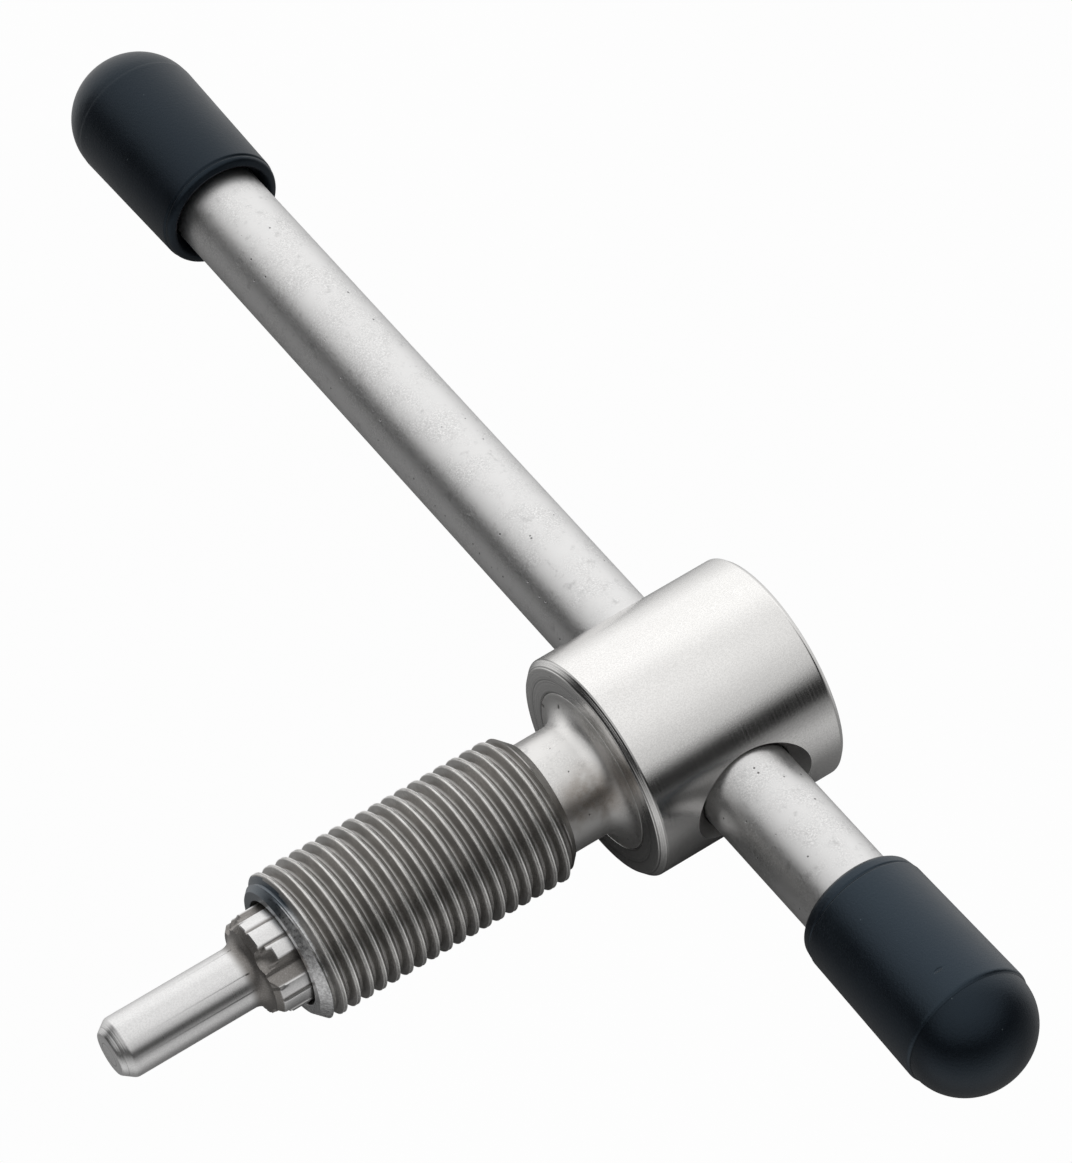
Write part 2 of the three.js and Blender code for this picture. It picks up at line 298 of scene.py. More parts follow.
def cut(piece, cutter):
    """Cuts the cutter's shape out of the piece for good."""
    change = piece.modifiers.new("cut", "BOOLEAN")
    change.operation = "DIFFERENCE"
    change.solver = "EXACT"
    change.object = cutter
    graph = bpy.context.evaluated_depsgraph_get()
    mesh = bpy.data.meshes.new_from_object(piece.evaluated_get(graph))
    edit = bmesh.new()
    edit.from_mesh(mesh)
    bmesh.ops.dissolve_degenerate(edit, dist=SLIVER, edges=edit.edges)
    edit.to_mesh(mesh)
    edit.free()
    piece.modifiers.clear()
    piece.data = mesh
    bpy.data.objects.remove(cutter)


def finish_piece(piece, body, node, slot_name, *materials):
    """Gives a piece its finish and its body, and hides the frame node that it stands for."""
    for material in materials:
        piece.data.materials.append(material)
    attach(piece, body)
    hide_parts(node)


def paint_faces(piece, index, test):
    """Gives material number index to every face whose middle passes the test."""
    for face in piece.data.polygons:
        if test(face.center):
            face.material_index = index


# ---- materials ----------------------------------------------------------------------


class Finish:
    """A material's nodes, with short ways to add the ones that these finishes share."""

    def __init__(self, name):
        self.material = bpy.data.materials.new(name)
        self.material.use_nodes = True
        self.tree = self.material.node_tree
        self.shader = self.tree.nodes["Principled BSDF"]
        coordinates = self.node("ShaderNodeTexCoord").outputs["Object"]
        self.place = self.vector_math("SCALE", coordinates, scale=1 / MM)
        parts = self.node("ShaderNodeSeparateXYZ", Vector=self.place).outputs
        self.axes = [parts[axis] for axis in "XYZ"]

    def node(self, kind, **inputs):
        made = self.tree.nodes.new(kind)
        for name, value in inputs.items():
            self.feed(made.inputs[name.replace("_", " ")], value)
        return made

    def feed(self, socket, value):
        """Links a node's output to the socket, or sets a plain value on it."""
        if isinstance(value, bpy.types.NodeSocket):
            self.tree.links.new(value, socket)
        else:
            socket.default_value = value

    def math(self, operation, first, second=0.0):
        made = self.node("ShaderNodeMath")
        made.operation = operation
        self.feed(made.inputs[0], first)
        self.feed(made.inputs[1], second)
        return made.outputs[0]

    def vector_math(self, operation, first, second=None, scale=None):
        made = self.node("ShaderNodeVectorMath")
        made.operation = operation
        self.feed(made.inputs[0], first)
        if second is not None:
            self.feed(made.inputs[1], second)
        if scale is not None:
            self.feed(made.inputs["Scale"], scale)
        return made.outputs["Value" if operation in ("LENGTH", "DISTANCE") else "Vector"]

    def noise(self, scale, detail=3.0, roughness=0.55, vector=None):
        """Cloudy noise from 0 to 1, with scale in lumps per millimetre."""
        made = self.node(
            "ShaderNodeTexNoise",
            Vector=vector or self.place,
            Scale=scale,
            Detail=detail,
            Roughness=roughness,
        )
        return made.outputs["Fac"]

    def stretched(self, x, y, z):
        """The place in millimetres, multiplied along each axis."""
        return self.vector_math("MULTIPLY", self.place, (x, y, z))

    def radius(self):
        """Distance from the screw's axis, in millimetres."""
        flat = self.vector_math("MULTIPLY", self.place, (0.0, 1.0, 1.0))
        return self.vector_math("LENGTH", flat)

    def span(self, value, low, high, to_low=0.0, to_high=1.0):
        """Maps low..high to to_low..to_high, smoothly and held at both ends."""
        made = self.node("ShaderNodeMapRange")
        made.interpolation_type = "SMOOTHSTEP"
        for socket, number in zip(made.inputs, (value, low, high, to_low, to_high)):
            self.feed(socket, number)
        return made.outputs["Result"]

    def blend(self, share, first, second):
        """Mixes two colours by the share."""
        made = self.node("ShaderNodeMix")
        made.data_type = "RGBA"
        made.clamp_factor = True
        self.feed(made.inputs[0], share)
        self.feed(made.inputs[6], self.solid(first))
        self.feed(made.inputs[7], self.solid(second))
        return made.outputs[2]

    @staticmethod
    def solid(value):
        """A plain colour with its alpha, or the output as it is."""
        return value if isinstance(value, bpy.types.NodeSocket) else (*value, 1.0)

    def pits(self, scale, share, size):
        """1 inside small scattered spots and 0 elsewhere."""
        cells = self.node("ShaderNodeTexVoronoi", Vector=self.place, Scale=scale)
        chosen = self.node("ShaderNodeSeparateColor", Color=cells.outputs["Color"]).outputs[0]
        inside = self.span(cells.outputs["Distance"], size, size * 0.4)
        return self.math("MULTIPLY", inside, self.math("LESS_THAN", chosen, share))

    def bump(self, height, depth, before=None):
        """A bump of that depth in metres, over an earlier one if there is one."""
        made = self.node("ShaderNodeBump", Height=height, Distance=depth, Strength=1.0)
        if before is not None:
            self.feed(made.inputs["Normal"], before)
        return made.outputs["Normal"]


def shade(tint, amount):
    """The tint made darker or lighter by the amount."""
    return tuple(min(channel * amount, 1.0) for channel in tint)


def turned_metal(name, tint, rough, deep_from, line_depth, dull_and_shade_at=None):
    """Satin plated steel with fine lathe lines round the screw's axis and on its faces.

    The lines are deeper beyond deep_from. Given a collar's front edge as (along, radius), the
    metal behind and below it is rougher, a duller finish, and darker: painted shade in its
    recesses.
    """
    finish = Finish(name)
    shader = finish.shader
    along = finish.axes[0]
    lines_at = finish.node("ShaderNodeCombineXYZ", X=along, Y=finish.radius(), Z=0.0).outputs[0]
    lines = finish.noise(9.0, 4.0, 0.7, lines_at)
    rings = finish.noise(7.0, 2.0, 0.6, lines_at)
    deep = finish.span(along, deep_from - 0.05, deep_from + 0.05)
    clouds = finish.noise(0.45, 3.0)
    grain = finish.noise(13.0, 3.0)
    pits = finish.pits(1.2, 0.10, 0.09)
    base = finish.blend(clouds, shade(tint, 0.94), shade(tint, 1.05))
    base = finish.blend(finish.span(grain, 0.35, 0.65), shade(tint, 0.88), base)
    ringed = finish.math("MULTIPLY", deep, finish.span(rings, 0.5, 0.35))
    base = finish.blend(ringed, base, shade(tint, 0.35))
    roughness = finish.span(lines, 0.3, 0.7, *rough)
    roughness = finish.math("ADD", roughness, finish.math("MULTIPLY", clouds, 0.05))
    if dull_and_shade_at is not None:
        # Behind the collar's front edge and below its lands the colour is darkened: painted shade
        # in the notches, the front cone and the fillet; the added roughness is a duller finish.
        root = finish.span(along, dull_and_shade_at[0] + 1.0, dull_and_shade_at[0] + 0.45)
        below = finish.span(finish.radius(), dull_and_shade_at[1] - 0.01, dull_and_shade_at[1] - 0.09)
        root = finish.math("MULTIPLY", root, below)
        root = finish.math("MULTIPLY", root, finish.span(grain, 0.2, 0.6, 0.8, 1.0))
        base = finish.blend(root, base, (0.225, 0.212, 0.20))
        roughness = finish.math("ADD", roughness, finish.math("MULTIPLY", root, 0.14))
    finish.feed(shader.inputs["Base Color"], finish.blend(pits, base, shade(tint, 0.12)))
    finish.feed(shader.inputs["Roughness"], roughness)
    ridges = finish.bump(lines, line_depth)
    ridges = finish.bump(grain, 0.0015 * MM, before=ridges)
    ridges = finish.bump(finish.math("MULTIPLY", rings, deep), 0.03 * MM, before=ridges)
    finish.feed(shader.inputs["Normal"], finish.bump(pits, -0.02 * MM, before=ridges))
    shader.inputs["Metallic"].default_value = 1.0
    return finish.material


def blasted_metal(name, tint, stain_at=None, spots=()):
    """Plated steel with the fine grey grain and dark pits that blasting leaves."""
    finish = Finish(name)
    shader = finish.shader
    grain = finish.noise(10.0, 4.0, 0.7)
    fine = finish.noise(24.0, 2.0)
    clouds = finish.noise(0.55, 3.0)
    marks = finish.noise(1.7, 4.0, 0.65)
    pits = finish.pits(2.2, 0.12, 0.16)
    for spot in spots:
        near = finish.vector_math("DISTANCE", finish.place, spot)
        pits = finish.math("MAXIMUM", pits, finish.span(near, 0.15, 0.07))
    base = finish.blend(finish.span(grain, 0.35, 0.65), shade(tint, 0.72), shade(tint, 1.16))
    base = finish.blend(finish.span(fine, 0.35, 0.6), shade(tint, 0.8), base)
    base = finish.blend(finish.span(clouds, 0.35, 0.65), shade(tint, 0.93), base)
    base = finish.blend(finish.span(marks, 0.56, 0.74, 0.0, 0.6), base, shade(tint, 0.6))
    if stain_at is not None:
        near = finish.vector_math("DISTANCE", finish.place, stain_at)
        cloudy = finish.span(clouds, 0.3, 0.6)
        patch = finish.math("MULTIPLY", finish.span(near, 2.3, 0.6), cloudy)
        patch = finish.math("MULTIPLY", patch, finish.span(grain, 0.2, 0.75, 0.45, 1.0))
        base = finish.blend(patch, base, (0.31, 0.262, 0.22))
    finish.feed(shader.inputs["Base Color"], finish.blend(pits, base, shade(tint, 0.2)))
    finish.feed(shader.inputs["Roughness"], finish.span(grain, 0.25, 0.75, 0.30, 0.42))
    ridges = finish.bump(grain, 0.003 * MM)
    ridges = finish.bump(fine, 0.0015 * MM, before=ridges)
    finish.feed(shader.inputs["Normal"], finish.bump(pits, -0.02 * MM, before=ridges))
    shader.inputs["Metallic"].default_value = 1.0
    return finish.material


def thread_steel(name, tint, crest_radius):
    """Oiled, darkened thread steel with bright crests: rubbed wear with a painted highlight along
    each.
    """
    finish = Finish(name)
    shader = finish.shader
    radius = finish.radius()
    patches = finish.noise(0.5, 3.0)
    grain = finish.noise(9.0, 4.0, 0.7)
    streaks = finish.noise(1.6, 4.0, 0.65, finish.stretched(6.0, 0.6, 0.6))
    base = finish.blend(finish.span(patches, 0.35, 0.65), shade(tint, 0.8), shade(tint, 1.12))
    base = finish.blend(finish.span(streaks, 0.4, 0.75), base, shade(tint, 0.7))
    base = finish.blend(finish.span(grain, 0.3, 0.7), shade(tint, 0.72), base)
    # Near the crest radius the colour goes near white: rubbed wear plus a painted highlight along
    # every crest.
    rubbed_and_highlit_crests = finish.span(radius, crest_radius - 0.07, crest_radius - 0.02)
    rubbed_and_highlit_crests = finish.math("MULTIPLY", rubbed_and_highlit_crests, finish.span(streaks, 0.75, 0.35, 0.35, 1.0))
    finish.feed(shader.inputs["Base Color"], finish.blend(rubbed_and_highlit_crests, base, (0.95, 0.94, 0.92)))
    finish.feed(shader.inputs["Roughness"], finish.span(grain, 0.25, 0.75, 0.30, 0.45))
    finish.feed(shader.inputs["Normal"], finish.bump(grain, 0.004 * MM))
    shader.inputs["Metallic"].default_value = 1.0
    return finish.material


def nose_darker_to_one_side(name, tint):
    """The nose's turned face: bright on the lower side, darker blue-black higher up, in cloudy
    patches.
    """
    finish = Finish(name)
    shader = finish.shader
    grain = finish.noise(6.0, 4.0, 0.7)
    patches = finish.noise(1.1, 3.0)
    lines_at = finish.node("ShaderNodeCombineXYZ", X=0.0, Y=finish.radius(), Z=0.0).outputs[0]
    lines = finish.noise(9.0, 3.0, 0.6, lines_at)
    # The face turns darker blue-black towards low Y, broken up by cloudy patches.
    level = finish.math("ADD", finish.axes[1], finish.math("MULTIPLY", patches, 3.0))
    darker_side = finish.span(level, 3.6, 1.2, 0.0, 0.95)
    base = finish.blend(finish.span(grain, 0.35, 0.65), shade(tint, 0.55), tint)
    finish.feed(shader.inputs["Base Color"], finish.blend(darker_side, base, (0.115, 0.135, 0.155)))
    finish.feed(shader.inputs["Roughness"], finish.span(grain, 0.25, 0.75, 0.26, 0.40))
    ridges = finish.bump(lines, 0.008 * MM)
    finish.feed(shader.inputs["Normal"], finish.bump(grain, 0.006 * MM, before=ridges))
    shader.inputs["Metallic"].default_value = 1.0
    return finish.material


def matt_rubber(name, tint, shine, nick_at=None):
    """Matt blue-black moulded rubber with a soft skin, dust specks and maybe one nick."""
    finish = Finish(name)
    shader = finish.shader
    skin_grain = finish.noise(7.0, 4.0, 0.6)
    clouds = finish.noise(0.35, 3.0)
    dust = finish.pits(1.6, 0.16, 0.075)
    base = finish.blend(finish.span(clouds, 0.35, 0.65), shade(tint, 0.82), shade(tint, 1.15))
    base = finish.blend(finish.span(skin_grain, 0.35, 0.7), base, shade(tint, 1.2))
    finish.feed(shader.inputs["Base Color"], finish.blend(dust, base, (0.05, 0.06, 0.065)))
    rough = finish.span(clouds, 0.3, 0.7, 0.29, 0.34)
    rough = finish.math("ADD", rough, finish.math("MULTIPLY", skin_grain, 0.05))
    finish.feed(shader.inputs["Roughness"], rough)
    ridges = finish.bump(skin_grain, 0.012 * MM)
    if nick_at is not None:
        offset = finish.vector_math("SUBTRACT", finish.place, nick_at)
        offset = finish.vector_math("MULTIPLY", offset, (1.0, 2.6, 1.6))
        depth = finish.span(finish.vector_math("LENGTH", offset), 0.32, 0.1)
        ridges = finish.bump(depth, -0.06 * MM, before=ridges)
    finish.feed(shader.inputs["Normal"], ridges)
    shader.inputs["Metallic"].default_value = 0.0
    shader.inputs["Specular IOR Level"].default_value = shine
    shader.inputs["Specular Tint"].default_value = (0.58, 0.79, 1.0, 1.0)
    return finish.material


def polished_steel(name, tint, rough):
    """Bright hardened steel with faint scratches."""
    finish = Finish(name)
    shader = finish.shader
    scratches = finish.noise(4.0, 5.0, 0.7, finish.stretched(0.5, 3.0, 3.0))
    base = finish.blend(scratches, shade(tint, 0.9), shade(tint, 1.05))
    finish.feed(shader.inputs["Base Color"], base)
    roughness = finish.span(scratches, 0.2, 0.8, rough * 0.8, rough * 1.4)
    finish.feed(shader.inputs["Roughness"], roughness)
    finish.feed(shader.inputs["Normal"], finish.bump(scratches, 0.0008 * MM))
    shader.inputs["Metallic"].default_value = 1.0
    return finish.material


# ---- pieces -------------------------------------------------------------------------


class PieceOperator:
    """What every operator here shares: its undo step."""

    bl_options = {"REGISTER", "UNDO"}


class DRIVESCREW_OT_head(PieceOperator, Operator):
    """Turn the round head, drill and countersink it for the bar, and let in the flange"""

    bl_idname = "drive_screw.head"
    bl_label = "Head"

    def execute(self, context):
        head = context.scene.drive_screw_head
        screw = context.scene.drive_screw_screw
        radius = head.diameter / 2
        gap = 0.015 * MM
        spigot_depth = 1.3 * MM
        seat = head.length - screw.flange_depth - gap
        socket = seat - spigot_depth
        outline = rounded([
            (0, 0, 0),
            (0, radius - head.back_chamfer, 0.06 * MM),
            (head.back_chamfer, radius, 0.08 * MM),
            (head.length - head.front_bevel, radius, 0.06 * MM),
            (head.length, radius - head.front_bevel, 0.05 * MM),
            (head.length, screw.flange / 2 + gap, 0.05 * MM),
            (seat, screw.flange / 2 + gap, 0),
            (seat, screw.spigot / 2 + gap, 0),
            (socket, screw.spigot / 2 + gap, 0),
            (socket, 0, 0),
        ])
        piece = skin("turned_head", rings_about_x(outline, 240))
        hole = head.hole / 2
        sink = head.countersink / 2
        past = 1.0 * MM
        drill = [
            (-radius - past, 0),
            (-radius - past, sink + past),
            (-radius + sink - hole, hole),
            (radius - sink + hole, hole),
            (radius + past, sink + past),
            (radius + past, 0),
        ]
        cut(piece, skin("drill", rings_about_bar(drill, 160)))
        smooth(piece, 25)
        face = (head.length - head.front_bevel) / MM
        lines = 0.001 * MM
        metal = turned_metal("satin_plated_head", head.metal, (0.12, 0.20), face, lines)
        # The countersinks and the bore take the head's metal at half brightness: painted shade in
        # the drilled recess, on a rougher finish.
        countersink_shade_tint = shade(head.metal, 0.5)
        shaded_countersink = turned_metal("drilled_head_painted_shade", countersink_shade_tint, (0.26, 0.36), face, lines)
        finish_piece(piece, "screw", "head", "head_metal", metal, shaded_countersink)
        # Faces of the countersinks and the bore get that painted-shade metal.
        inside = radius - 0.02 * MM
        paint_faces(piece, 1, lambda at: (
            math.hypot(at.x - BAR_X, at.z) < sink + 0.1 * MM and math.hypot(at.y, at.z) < inside
        ))
        return {"FINISHED"}


class DRIVESCREW_OT_screw(PieceOperator, Operator):
    """Turn the flange, flare and neck, cut the helical thread and bore the nose"""

    bl_idname = "drive_screw.screw"
    bl_label = "Drive Screw"

    columns = 144
    rows_per_pitch = 14

    def execute(self, context):
        screw = context.scene.drive_screw_screw
        start = screw.start
        end = SCREW_HIGH.x
        crest = screw.thread / 2
        neck = screw.neck / 2
        flange_back = HEAD_FRONT - screw.flange_depth
        drill_point = math.tan(math.radians(31))
        back = rounded([
            (SCREW_LOW.x, 0, 0),
            (SCREW_LOW.x, screw.spigot / 2, 0),
            (flange_back, screw.spigot / 2, 0),
            (flange_back, screw.flange / 2, 0),
            (HEAD_FRONT, screw.flange / 2, 0.06 * MM),
            (HEAD_FRONT, neck + screw.flare + 0.1 * MM, 0),
        ])
        back += arc(HEAD_FRONT + screw.flare, neck + screw.flare, screw.flare, 180, 270, 12)
        back += [Vector((start, neck))]
        nose = rounded([
            (end, crest - screw.nose_chamfer, 0),
            (end, screw.mouth / 2, 0.06 * MM),
            (screw.mouth_floor, screw.mouth / 2, 0),
            (screw.mouth_floor, screw.bore / 2, 0),
            (screw.bore_floor, screw.bore / 2, 0),
            (screw.bore_floor - screw.bore / 2 * drill_point, 0, 0),
        ])
        thread = self.thread_rings(screw, start, end, crest)
        rings = rings_about_x(back, self.columns) + thread + rings_about_x(nose, self.columns)
        helix_rows = range(len(back), len(back) + len(thread))
        piece = skin("threaded_screw", rings, helix_rows, self.rows_per_pitch)
        smooth(piece, 24)
        finish_piece(
            piece,
            "screw",
            "drive_screw",
            "screw_steel",
            blasted_metal("blasted_neck", screw.neck_metal, STAIN, FLANGE_PITS),
            thread_steel("thread_rubbed_and_highlit", screw.thread_metal, crest / MM),
            nose_darker_to_one_side("nose_darker_to_one_side", (0.80, 0.80, 0.80)),
        )
        nose_start = end - screw.nose_chamfer * 1.05
        paint_faces(piece, 1, lambda at: start < at.x <= nose_start)
        paint_faces(piece, 2, lambda at: at.x > nose_start)
        return {"FINISHED"}

    def thread_rings(self, screw, start, end, crest):
        """Rings that climb one pitch a turn, so that each row follows the thread."""
        turns = math.ceil((end - start) / screw.pitch + 1.1)
        quarter_turn = 0.25
        phase = screw.crest / screw.pitch
        rings = []
        for row in range(turns * self.rows_per_pitch + 1):
            ring = []
            for column in range(self.columns):
                turn = column / self.columns
                climb = row / self.rows_per_pitch + turn - 1
                along = min(max(start + climb * screw.pitch, start), end)
                share = (along / screw.pitch - phase - turn + quarter_turn) % 1
                radius = min(
                    crest - self.thread_depth(share) * screw.depth,
                    crest - screw.rear_chamfer + (along - start),
                    crest - screw.nose_chamfer + (end - along),
                )
                if along in (start, end):
                    chamfer = screw.rear_chamfer if along == start else screw.nose_chamfer
                    radius = crest - chamfer
                angle = 2 * math.pi * turn
                ring.append((along, radius * math.cos(angle), radius * math.sin(angle)))
            rings.append(ring)
        return rings

    @staticmethod
    def thread_depth(share):
        """Depth from 0 at the crest's two rolled lips to 1 at the root, over one pitch."""
        away = min(share, 1 - share) * 2
        lip, flank_foot = 0.22, 0.84
        valley, flank_bend = 0.13, 1.15
        if away < lip:
            return valley * math.cos(away / lip * math.pi / 2) ** 2
        slope = min((away - lip) / (flank_foot - lip), 1)
        return slope ** flank_bend


class DRIVESCREW_OT_press_pin(PieceOperator, Operator):
    """Turn the press pin and mill the splines and scallops of its collar"""

    bl_idname = "drive_screw.press_pin"
    bl_label = "Press Pin"

    sides = 360

    def execute(self, context):
        pin = context.scene.drive_screw_pin
        radius = pin.diameter / 2
        collar = pin.collar / 2
        shank = pin.shank / 2
        bevel = 0.3 * MM
        end_chamfer = 0.2 * MM
        groove_back, groove_front, groove_radius = 21.25 * MM, 21.95 * MM, 1.2 * MM
        outline = rounded([
            (PIN_LOW.x, 0, 0),
            (PIN_LOW.x, shank - end_chamfer, 0),
            (PIN_LOW.x + end_chamfer, shank, 0),
            (groove_back, shank, 0),
            (groove_back, groove_radius, 0),
            (groove_front, groove_radius, 0),
            (groove_front, shank, 0),
            (pin.collar_back, shank, 0),
            (pin.collar_back, collar - bevel, 0),
            (pin.collar_back + bevel, collar, 0),
        ])
        land_end = pin.collar_front - bevel
        land_start = pin.collar_back + bevel
        start, end = Vector((land_start, collar)), Vector((land_end, collar))
        foot = Vector((pin.collar_front, radius + pin.fillet))
        outline += [start.lerp(end, step / 12) for step in range(1, 13)]
        outline += [end.lerp(foot, step / 6) for step in range(1, 6)]
        outline += arc(foot.x + pin.fillet, foot.y, pin.fillet, 180, 270, 12)
        outline += rounded([
            (foot.x + pin.fillet, radius, 0),
            (PIN_HIGH.x - pin.tip_chamfer, radius, 0.14 * MM),
            (PIN_HIGH.x, pin.tip / 2, 0.1 * MM),
            (PIN_HIGH.x, 0, 0),
        ])[1:]

        def milled(along, reach, angle):
            if along < pin.collar_back or reach <= shank:
                return reach
            return self.milled_radius(pin, along, reach, angle)

        piece = skin("splined_press_pin", rings_about_x(outline, self.sides, milled))
        smooth(piece, 30)
        # The pin's metal is darkened behind and below the collar's front edge: painted shade in
        # the collar's recesses.
        finish_piece(
            piece,
            "pin",
            "press_pin",
            "pin_steel",
            turned_metal(
                "ground_pin", pin.metal, (0.25, 0.27), (PIN_HIGH.x - pin.tip_chamfer) / MM,
                0.0001 * MM, dull_and_shade_at=(pin.collar_front / MM, collar / MM),
            ),
        )
        return {"FINISHED"}

    @staticmethod
    def milled_radius(pin, along, reach, angle):
        """The collar's radius after its notches, fine grooves and front scallops are cut."""
        lobe_step = 2 * math.pi / pin.lobes

        def from_nearest(first):
            """The angle from the nearest of the places that repeat from the first."""
            return (angle - first + lobe_step / 2) % lobe_step - lobe_step / 2

        from_lobe = from_nearest(pin.first_lobe)
        turn = math.degrees(abs(from_lobe))
        half_lobe, half_step = 30.5, math.degrees(lobe_step) / 2
        groove_at, groove_half = 12.5, 3.4
        notch_bend, crease_height, crease_share = 0.8, 0.03 * MM, 1 / 8
        front_lead, front_recess, front_slope = 0.05 * MM, 0.45 * MM, 1.1
        collar = pin.collar / 2
        if turn > half_lobe:
            share = (turn - half_lobe) / (half_step - half_lobe)
            crease = crease_height * max(0, 1 - (1 - share) / crease_share)
            limit = collar - pin.notch_depth * share ** notch_bend + crease
        else:
            depth = max(0, 1 - abs(turn - groove_at) / groove_half)
            limit = collar - pin.groove_depth * depth * depth * (3 - 2 * depth)
            front = pin.collar_front + front_lead - front_recess * (turn / half_lobe) ** 2
            limit -= max(0, along - front) * front_slope
        scallop, scallop_centre, scallop_turn = 0.75 * MM, 2.75 * MM, math.radians(27)
        away = from_nearest(pin.first_lobe - scallop_turn)
        across = scallop_centre * math.sin(away)
        room = scallop ** 2 - (along - pin.collar_front) ** 2 - across ** 2
        if room > 0 and abs(away) < math.pi / 2:
            limit = min(limit, scallop_centre * math.cos(away) - math.sqrt(room))
        return min(reach, limit) if reach > pin.diameter / 2 else reach


class DRIVESCREW_OT_inner_parts(PieceOperator, Operator):
    """Make the split retaining ring and the thrust ball that work inside the screw"""

    bl_idname = "drive_screw.inner_parts"
    bl_label = "Inner Parts"

    def execute(self, context):
        low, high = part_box("retaining_ring")
        inner = 1.25 * MM
        gap = 0.9 * MM
        outline = rounded([
            (low.x, inner, 0.0),
            (low.x, high.y, 0.08 * MM),
            (high.x, high.y, 0.08 * MM),
            (high.x, inner, 0.0),
            (low.x, inner, 0.0),
        ])
        ring = skin("split_ring", self.split_rings(outline, gap, 96))
        smooth(ring)
        finish_piece(
            ring, "screw", "retaining_ring", "spring_steel",
            polished_steel("spring_wire", (0.55, 0.56, 0.58), 0.3),
        )
        low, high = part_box("thrust_ball")
        middle = (low.x + high.x) / 2
        radius = (high.x - low.x) / 2
        ball = skin("bearing_ball", rings_about_x(arc(middle, 0, radius, 180, 0, 24), 48))
        smooth(ball)
        finish_piece(
            ball, "screw", "thrust_ball", "ball_steel",
            polished_steel("polished_ball", (0.80, 0.81, 0.83), 0.08),
        )
        return {"FINISHED"}

    @staticmethod
    def split_rings(section, gap, steps):
        """The section carried round from one side of the gap to the other, closed at both."""
        half_gap = gap / 2 / section[1].y
        corners = section[:-1]
        middle = sum(corners, Vector((0, 0))) / len(corners)
        first, last = -math.pi / 2 + half_gap, 3 * math.pi / 2 - half_gap
        stations = [(first + (last - first) * step / steps, corners) for step in range(steps + 1)]
        closing = [middle] * len(corners)
        stations = [(first, closing), *stations, (last, closing)]
        return [
            [(p.x, p.y * math.cos(angle), p.y * math.sin(angle)) for p in points]
            for angle, points in stations
        ]


class DRIVESCREW_OT_tommy_bar(PieceOperator, Operator):
    """Turn the plain handle bar that slides through the head"""

    bl_idname = "drive_screw.tommy_bar"
    bl_label = "Handle Bar"

    def execute(self, context):
        bar = context.scene.drive_screw_bar
        radius = bar.diameter / 2
        outline = rounded([
            (BAR_LOW.y, 0, 0),
            (BAR_LOW.y, radius - bar.chamfer, 0.1 * MM),
            (BAR_LOW.y + bar.chamfer, radius, 0.2 * MM),
            (BAR_HIGH.y - bar.chamfer, radius, 0.2 * MM),
            (BAR_HIGH.y, radius - bar.chamfer, 0.1 * MM),
            (BAR_HIGH.y, 0, 0),
        ])
        piece = skin("sliding_bar", rings_about_bar(outline, 160))
        smooth(piece)
        finish_piece(
            piece, "handle", "tommy_bar", "bar_metal", blasted_metal("blasted_bar", bar.metal)
        )
        return {"FINISHED"}


class DRIVESCREW_OT_end_caps(PieceOperator, Operator):
    """Mould the two rubber end caps over the ends of the bar"""

    bl_idname = "drive_screw.end_caps"
    bl_label = "End Caps"

    def execute(self, context):
        caps = context.scene.drive_screw_caps
        bar_radius = context.scene.drive_screw_bar.diameter / 2
        bore = bar_radius + caps.fit
        near = self.outline(
            caps, bore, BAR_HIGH.y, NEAR_CAP_LOW.y, NEAR_CAP_HIGH.y, NEAR_CAP_HIGH.z,
            caps.near_mouth / 2, caps.near_dome / 2, caps.near_dome_height, 1.3 * MM,
        )
        far = self.outline(
            caps, bore, -BAR_LOW.y, -FAR_CAP_HIGH.y, -FAR_CAP_LOW.y, FAR_CAP_HIGH.z,
            caps.far_mouth / 2, caps.far_dome / 2, caps.far_dome_height, 0.7 * MM,
        )
        near_cap = skin("rubber_cap_short_side", rings_about_bar(near, 128))
        far_cap = skin(
            "rubber_cap_long_side",
            rings_about_bar([Vector((-along, radius)) for along, radius in far], 128),
        )
        # One rubber gets a lower specular level on the long side's cap and on the short side's
        # dome: painted shade, as lit and shaded copies of one material.
        near_shine, far_shine = 0.58, 0.36
        dome_share = 0.62
        near_wall = matt_rubber("rubber_cap_short_side_wall", caps.rubber, near_shine, NICK)
        near_top = matt_rubber(
            "rubber_cap_short_side_dome", caps.rubber, near_shine * dome_share
        )
        far_wall = matt_rubber("rubber_cap_long_side_wall", caps.rubber, far_shine)
        smooth(near_cap, 40)
        smooth(far_cap, 40)
        finish_piece(
            near_cap, "handle", "end_cap_short_side", "cap_rubber", near_wall, near_top
        )
        finish_piece(far_cap, "handle", "end_cap_long_side", "cap_rubber", far_wall)
        seam = NEAR_CAP_HIGH.y - caps.near_dome_height
        paint_faces(near_cap, 1, lambda at: at.y > seam)
        return {"FINISHED"}

    @staticmethod
    def outline(caps, bore, bar_end, mouth, apex, seam_radius, mouth_radius, dome, height, lip):
        """A cap's outline: bore, lip with its ring groove, wall, seam step and dome."""
        bottom = bar_end + caps.fit
        seam = apex - height
        groove_at = mouth + lip * 0.62
        wall = rounded([
            (bottom, 0, 0),
            (bottom, bore, 0),
            (mouth + 0.75 * MM, bore, 0),
            (mouth + 0.28 * MM, bore + 0.22 * MM, 0.1 * MM),
            (mouth, bore + 0.42 * MM, 0.1 * MM),
            (mouth + lip * 0.2, mouth_radius - 0.13 * MM, 0.12 * MM),
            (groove_at - 0.1 * MM, mouth_radius - 0.05 * MM, 0.05 * MM),
            (groove_at, mouth_radius - 0.1 * MM, 0.04 * MM),
            (groove_at + 0.1 * MM, mouth_radius, 0.05 * MM),
            (seam - 0.12 * MM, seam_radius, 0.12 * MM),
            (seam, dome + (seam_radius - dome) * 0.15, 0.05 * MM),
            (seam + 0.1 * MM, dome, 0),
        ], 5)[:-1]
        curve = [math.radians(90 * step / 28) for step in range(29)]
        return wall + [
            Vector((seam + height * math.sin(angle), dome * math.cos(angle))) for angle in curve
        ]


